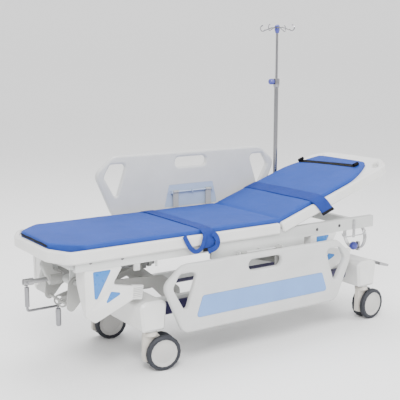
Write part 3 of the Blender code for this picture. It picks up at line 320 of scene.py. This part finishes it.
def mattress():
    """Both mattresses as one cushion: crowned top, piped corners, soft creases at the fold."""
    top = MATTRESS_TOP - HINGE_Z
    bottom = MATTRESS_BOTTOM - HINGE_Z
    thick = top - bottom
    start = MATTRESS_FOOT - HINGE_X
    stations = [(start, 0.55, 0.014), (start + 0.0008, 0.80, 0.009), (start + 0.003, 0.94, 0.004),
                (start + 0.007, 1.0, 0.0)]
    count = 170
    for k in range(1, count):
        stations.append((start + 0.007 + (MATTRESS_HEAD - 0.007 - start - 0.007) * k / count, 1.0, 0.0))
    stations += [(MATTRESS_HEAD - 0.007, 1.0, 0.0), (MATTRESS_HEAD - 0.003, 0.94, 0.004),
                 (MATTRESS_HEAD - 0.0008, 0.80, 0.009), (MATTRESS_HEAD, 0.55, 0.014)]
    across = 34
    corner = 0.009
    loops = []
    for s, share, pull in stations:
        half = half_width(s) - pull
        high = top - thick * (1 - share) * 0.5
        low = bottom + thick * (1 - share) * 0.5
        radius = min(corner, (high - low) * 0.42)
        section = []
        for k in range(across + 1):
            section.append((-half + radius + 2 * (half - radius) * k / across, high, 1))
        for k in range(1, 7):
            a = pi / 2 * (1 - k / 7)
            bead = 1.0 + 0.14 * exp(-((k - 3.5) / 1.1) ** 2)
            section.append((half - radius + radius * cos(a) * bead,
                            high - radius + radius * sin(a) * bead, 0))
        section.append((half, (high + low) / 2, 0))
        for k in range(1, 5):
            a = -pi / 2 * k / 5
            section.append((half - radius + radius * cos(a), low + radius + radius * sin(a), 0))
        for k in range(9):
            section.append((half - radius - 2 * (half - radius) * k / 8, low, 0))
        for k in range(1, 5):
            a = -pi / 2 * (1 - k / 5)
            section.append((-half + radius - radius * cos(a), low + radius + radius * sin(a), 0))
        section.append((-half, (high + low) / 2, 0))
        for k in range(1, 7):
            a = pi / 2 * k / 7
            bead = 1.0 + 0.14 * exp(-((k - 3.5) / 1.1) ** 2)
            section.append((-half + radius - radius * cos(a) * bead,
                            high - radius + radius * sin(a) * bead, 0))
        loop = []
        for y, rise, upper in section:
            if upper:
                share_y = min(1.0, abs(y) / max(half, 0.01))
                crown = 0.0030 * (1 - share_y ** 6) * share
                ripple = noise.noise(Vector((s * 7.0, y * 5.0, 1.7))) * 0.0016
                fine = noise.noise(Vector((s * 26.0, y * 15.0, 4.1))) * 0.0006
                crease = -0.0050 * exp(-(s / 0.010) ** 2)
                strap = -0.0022 * exp(-((s - 0.235) / 0.045) ** 4)
                strap -= 0.0022 * exp(-((s + 0.385 + HINGE_X) / 0.040) ** 4)
                rise += crown + ripple + fine + crease + strap
            else:
                y *= 1 + 0.0035 * noise.noise(Vector((s * 11.0, y, 7.3)))
            loop.append(bent(s, y, rise))
        loops.append(loop)
    made = solid("mattress", loops_to_mesh(loops), "mattress_cloth", None)
    made.data.shade_smooth()
    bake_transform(made)
    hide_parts("mattress_seat", "mattress_back")


mattress()


def foot_edge_shadow():
    """Painted shadow: a black roll along the mattress's foot edge, just under its top."""
    radius = 0.0032
    loops = []
    count = 40
    for k in range(count + 1):
        y = -0.138 + 0.276 * k / count
        grow = min(1.0, 0.35 + 3 * min(k, count - k) / count * 4)
        centre = row(MATTRESS_FOOT + 0.0005, y, MATTRESS_TOP - 0.010
                     + 0.0006 * sin(y * 60))
        loops.append([centre + Vector((cos(2 * pi * j / 12) * radius * grow, 0,
                                       sin(2 * pi * j / 12) * radius * 1.6 * grow)) for j in range(12)])
    solid("mattress_foot_edge_shadow", loops_to_mesh(loops), "painted_shadow_black", "deck")


foot_edge_shadow()


# ------------------------------------------------------------------------------ straps

def smooth_path(points, step=0.006):
    """Points along a path at even steps, its corners eased."""
    points = [Vector(p) for p in points]
    for _ in range(3):
        eased = [points[0]]
        for a, b in zip(points, points[1:]):
            eased += [a.lerp(b, 0.25), a.lerp(b, 0.75)]
        points = eased + [points[-1]]
    out = [points[0]]
    for a, b in zip(points, points[1:]):
        pieces = max(1, round((b - a).length / step))
        out += [a.lerp(b, (k + 1) / pieces) for k in range(pieces)]
    return out


def strap(name, path, width, place, finish, slot, body, node_name, seed, rests, drift=0.0):
    """A woven band along a path of (y, rise) points; place puts (along, y, rise) in the row frame."""
    line = smooth_path([(0, y, rise) for y, rise in path])
    cells = 10
    bm = bmesh.new()
    grid = []
    for i, point in enumerate(line):
        band = []
        for k in range(cells + 1):
            along = (k / cells - 0.5) * width
            rim = abs(k / cells - 0.5) * 2
            slant = drift * max(0.0, LIE - SLANT_START - point.z) if point.y < 0 else 0.0
            wander = slant + 0.0012 * noise.noise(Vector((point.y * 9, seed, point.z * 9)))
            lift = 0.0004 * noise.noise(Vector((along * 40, point.y * 22, seed)))
            lift += 0.00025 * (1 - rim ** 2)
            band.append(bm.verts.new(place(along + wander, point.y, point.z + lift)))
        grid.append(band)
    for low, high in zip(grid, grid[1:]):
        for k in range(cells):
            bm.faces.new((low[k], low[k + 1], high[k + 1], high[k]))
    made = solid(name, bm, finish, body)
    made.data.shade_smooth()
    shell = made.modifiers.new("cloth", "SOLIDIFY")
    shell.thickness = 0.0016
    shell.offset = 0.0
    if node_name:
        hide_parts(node_name)
    return made


LIE = MATTRESS_TOP - HINGE_Z + 0.0028
SLANT_START = 0.004
CHEST_DRIFT = 0.42


def on_deck_strap(along, y, rise):
    return row(-0.385 + along, y, HINGE_Z + rise)


def on_chest(along, y, rise):
    return on_back(0.235 + along, y, rise)


def on_head(along, y, rise):
    return on_back(0.578 - 0.085 * y + along, y, rise)


strap("body_strap_band",
      [(0.262, LIE - 0.014), (0.254, LIE - 0.003), (0.225, LIE), (0.0, LIE + 0.001), (-0.225, LIE),
       (-0.252, LIE - 0.003), (-0.272, LIE - 0.020), (-0.2765, LIE - 0.045), (-0.2770, -0.070)],
      0.060, on_deck_strap, "strap_cloth", "blue_fabric", "deck", "body_strap", 2.0, "mattress")
strap("chest_strap_band",
      [(0.264, LIE - 0.013), (0.254, LIE - 0.003), (0.225, LIE), (0.0, LIE + 0.001), (-0.225, LIE),
       (-0.252, LIE - 0.003), (-0.272, LIE - 0.020), (-0.2765, LIE - 0.040), (-0.2770, -0.066)],
      0.070, on_chest, "strap_cloth", "blue_fabric", "backrest", "chest_strap", 5.0, "mattress", CHEST_DRIFT)


def curl(y, side):
    """A webbing end rolled up on the mattress, from its free end to where it lies flat."""
    out = []
    for k in range(15):
        a = 2.6 * pi * (1 - k / 14)
        radius = 0.0050 + 0.0042 * k / 14
        out.append((y + side * radius * sin(a), LIE + 0.0092 - radius * cos(a)))
    return out


strap("head_strap_band",
      curl(0.205, 1) + [(0.190, LIE), (0.0, LIE + 0.001), (-0.150, LIE)] + curl(-0.165, -1)[::-1],
      0.030, on_head, "strap_black", "black_fabric", "backrest", "head_strap", 8.0, "mattress")


def hanging_end_shadow(name, place, low, width, body):
    """Painted shadow: a black sleeve round the bottom of a strap's hanging end."""
    loops = []
    for k in range(13):
        along = (k / 12 - 0.5) * (width + 0.002)
        loops.append([place(along, -0.2768 + 0.0021 * cos(a), low + 0.008 + 0.0085 * sin(a))
                      for a in (2 * pi * j / 14 for j in range(14))])
    solid(name, loops_to_mesh(loops), "painted_shadow_black", body)


hanging_end_shadow("body_strap_shadow_tip", on_deck_strap, -0.070, 0.060, "deck")
def on_chest_slant(along, y, rise):
    return on_chest(along + CHEST_DRIFT * (LIE - SLANT_START - rise), y, rise)


hanging_end_shadow("chest_strap_shadow_tip", on_chest_slant, -0.066, 0.070, "backrest")


def slack_loop(name, corners, width, y, seed):
    """A loop of slack webbing hanging against the rim, seen flat on."""
    line = smooth_path([(x, 0, z) for x, z in corners], 0.004)
    bm = bmesh.new()
    grid = []
    for i, point in enumerate(line):
        along = line[min(i + 1, len(line) - 1)] - line[max(i - 1, 0)]
        out = Vector((-along.z, 0, along.x)).normalized()
        band = []
        for k in range(7):
            offset = (k / 6 - 0.5) * width
            depth = 0.0022 * sin(pi * i / (len(line) - 1))
            depth += 0.0006 * noise.noise(point * 30 + Vector((seed, 0, 0)))
            spot = point + out * offset
            band.append(bm.verts.new(row(spot.x, y - depth, spot.z)))
        grid.append(band)
    for low, high in zip(grid, grid[1:]):
        for k in range(6):
            bm.faces.new((low[k], low[k + 1], high[k + 1], high[k]))
    made = solid(name, bm, "strap_cloth", "deck")
    made.data.shade_smooth()
    shell = made.modifiers.new("cloth", "SOLIDIFY")
    shell.thickness = 0.0016
    shell.offset = 0.0


slack_loop("body_strap_loop",
           [(-0.512, 0.560), (-0.500, 0.535), (-0.480, 0.500), (-0.452, 0.484), (-0.425, 0.500),
            (-0.412, 0.535), (-0.408, 0.560)], 0.020, -0.2790, 3.0)
slack_loop("body_strap_loop_inner",
           [(-0.372, 0.556), (-0.356, 0.545), (-0.345, 0.520), (-0.350, 0.497), (-0.372, 0.486),
            (-0.395, 0.482)],
           0.024, -0.2815, 6.0)


# ------------------------------------------------------------------------------ cover inlays and bolts

def prism(outline, y, side, thickness):
    """A flat inlay with eased edges in the plane of a side face."""
    centre_x = sum(p[0] for p in outline) / len(outline)
    centre_z = sum(p[1] for p in outline) / len(outline)
    layers = []
    for depth, shrink in ((0.0, 0.982), (thickness * 0.75, 0.982), (thickness, 0.955)):
        loop = []
        for x, z in outline:
            loop.append(row(centre_x + (x - centre_x) * shrink, side * (y + depth),
                            centre_z + (z - centre_z) * shrink))
        layers.append(loop)
    return loops_to_mesh(layers)


def rounded_outline(points, radius, steps=5):
    """The outline with each corner replaced by a short arc."""
    out = []
    count = len(points)
    for k in range(count):
        here = Vector((*points[k], 0))
        before = (Vector((*points[k - 1], 0)) - here)
        after = (Vector((*points[(k + 1) % count], 0)) - here)
        cut = min(radius, before.length * 0.45, after.length * 0.45)
        a = here + before.normalized() * cut
        b = here + after.normalized() * cut
        for j in range(steps + 1):
            t = j / steps
            p = a.lerp(here, t).lerp(here.lerp(b, t), t)
            out.append((p.x, p.y))
    return out


TALL_INLAY = [(-0.903, 0.349), (-0.838, 0.463), (-0.919, 0.463), (-0.914, 0.353)]
SMALL_INLAY = [(-0.869, 0.323), (-0.789, 0.360), (-0.842, 0.373)]
for side, sign in SIDES.items():
    for end, step in (("foot", 0.0), ("head", HEAD_COVER_STEP)):
        for label, outline in (("tall", TALL_INLAY), ("small", SMALL_INLAY)):
            moved = rounded_outline([(x + step, z) for x, z in outline], 0.005)
            solid(f"inlay_{label}_{side}_{end}", prism(moved, COVER_FACE - 0.0018, sign, 0.0018),
                  "inlay_blue", "deck")
    for k, (x, z) in enumerate([(-0.928, 0.503), (-0.789, 0.502), (0.239, 0.496), (0.380, 0.498)]):
        hex_bolt(f"frame_bolt_{side}_{k}", row(x, sign * (COVER_FACE + 0.0001), z), (0, sign, 0), "deck")

# ribs of the bellows over the lift's sleeve
for side, sign in SIDES.items():
    for k in range(7):
        z = 0.328 + 0.0075 * k
        middle = row(-0.722 + (z - 0.350) * 0.14, sign * 0.2560, z)
        ribs = []
        for j in range(9):
            x = -0.0245 + 0.049 * j / 8
            scale = 1.0 if 0 < j < 8 else 0.5
            ribs.append([middle + Vector((x, sign * 0.0016 * scale * sin(a), 0.0022 * scale * cos(a)))
                         for a in (2 * pi * i / 10 for i in range(10))])
        solid(f"sleeve_rib_{side}_{k}", loops_to_mesh(ribs), "white_plastic", "deck")


# ------------------------------------------------------------------------------ castor hubs

STEM_X = {"foot": -0.655, "head": 0.560}
STEM_Y = 0.235
YAW = {("near", "foot"): -9, ("near", "head"): 4, ("far", "foot"): -6, ("far", "head"): 3}
for side, sign in SIDES.items():
    for end in ENDS:
        yaw = radians(YAW[side, end])
        centre = row(STEM_X[end] + 0.05 * cos(yaw), sign * STEM_Y + 0.05 * sin(yaw), 0.075)
        axis = Vector((-sin(yaw), cos(yaw), 0))
        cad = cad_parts[f"castor_{side}_{end}_wheel"]
        co = np.empty(len(cad.data.vertices) * 3)
        cad.data.vertices.foreach_get("co", co)
        away = (co.reshape(-1, 3) - np.array(centre)) @ np.array(axis)
        for label, face in (("outer", away.max()), ("inner", away.min())):
            turn = 1 if face > 0 else -1
            bm = turned([(-0.004, 0.011), (0.0, 0.011)] + [(a - 0.001, r) for a, r in dome(0.011, 0.0035)],
                        centre + axis * (face - turn * 0.0030), axis * turn, 28)
            solid(f"hub_cap_{side}_{end}_{label}", bm, "cream_plastic", f"castor_{side}_{end}_roll")


# ------------------------------------------------------------------------------ floor, light, camera

def soft_light(name, place, aim, size, power):
    data = bpy.data.lights.new(name, "AREA")
    data.shape = "DISK"
    data.size = size
    data.energy = power
    lamp = bpy.data.objects.new(name, data)
    bpy.context.scene.collection.objects.link(lamp)
    lamp.location = place
    lamp.rotation_euler = (Vector(aim) - Vector(place)).to_track_quat("-Z", "Y").to_euler()


def floor():
    """A pale floor that runs up into a pale backdrop on every side."""
    bm = bmesh.new()
    loops = []
    rings = [(3.0, 0.0), (8.0, 0.0), (12.0, 0.1), (15.0, 1.2), (17.0, 4.0), (17.5, 12.0)]
    for radius, rise in rings:
        loops.append([bm.verts.new((radius * cos(2 * pi * k / 64), radius * sin(2 * pi * k / 64), rise))
                      for k in range(64)])
    for low, high in zip(loops, loops[1:]):
        for k in range(64):
            bm.faces.new((low[k], low[(k + 1) % 64], high[(k + 1) % 64], high[k]))
    bm.faces.new(loops[0])
    bmesh.ops.recalc_face_normals(bm, faces=bm.faces)
    mesh = bpy.data.meshes.new("studio_floor")
    bm.to_mesh(mesh)
    bm.free()
    made = bpy.data.objects.new("studio_floor", mesh)
    bpy.context.scene.collection.objects.link(made)
    mesh.shade_smooth()
    pale = bpy.data.materials.new("studio_floor")
    pale.use_nodes = True
    shader = pale.node_tree.nodes["Principled BSDF"]
    shader.inputs["Base Color"].default_value = (0.93, 0.93, 0.93, 1)
    shader.inputs["Roughness"].default_value = 0.9
    shader.inputs["Specular IOR Level"].default_value = 0.1
    mesh.materials.append(pale)


floor()
world = bpy.data.worlds.new("studio")
world.use_nodes = True
world.node_tree.nodes["Background"].inputs["Color"].default_value = (1.0, 1.0, 1.0, 1)
world.node_tree.nodes["Background"].inputs["Strength"].default_value = 1.55
bpy.context.scene.world = world
soft_light("key", (-2.4, -3.4, 4.2), (0, 0, 0.5), 2.4, 300)
soft_light("fill", (3.6, -2.6, 2.6), (0, 0, 0.5), 3.0, 80)
soft_light("top", (0.5, 1.5, 5.0), (0, 0, 0.5), 3.5, 170)

CAMERA_PLACE = (-2.075, -3.0115, 1.266)
CAMERA_TURN = radians(33.96)
CAMERA_PITCH = radians(9.8)
camera_data = bpy.data.cameras.new("camera")
camera_data.lens = 72
camera_data.sensor_width = 36
camera = bpy.data.objects.new("camera", camera_data)
bpy.context.scene.collection.objects.link(camera)
camera.location = CAMERA_PLACE
gaze = Vector((sin(CAMERA_TURN) * cos(CAMERA_PITCH), cos(CAMERA_TURN) * cos(CAMERA_PITCH),
               -sin(CAMERA_PITCH)))
camera.rotation_euler = gaze.to_track_quat("-Z", "Y").to_euler()
bpy.context.scene.camera = camera

bpy.context.view_layer.update()
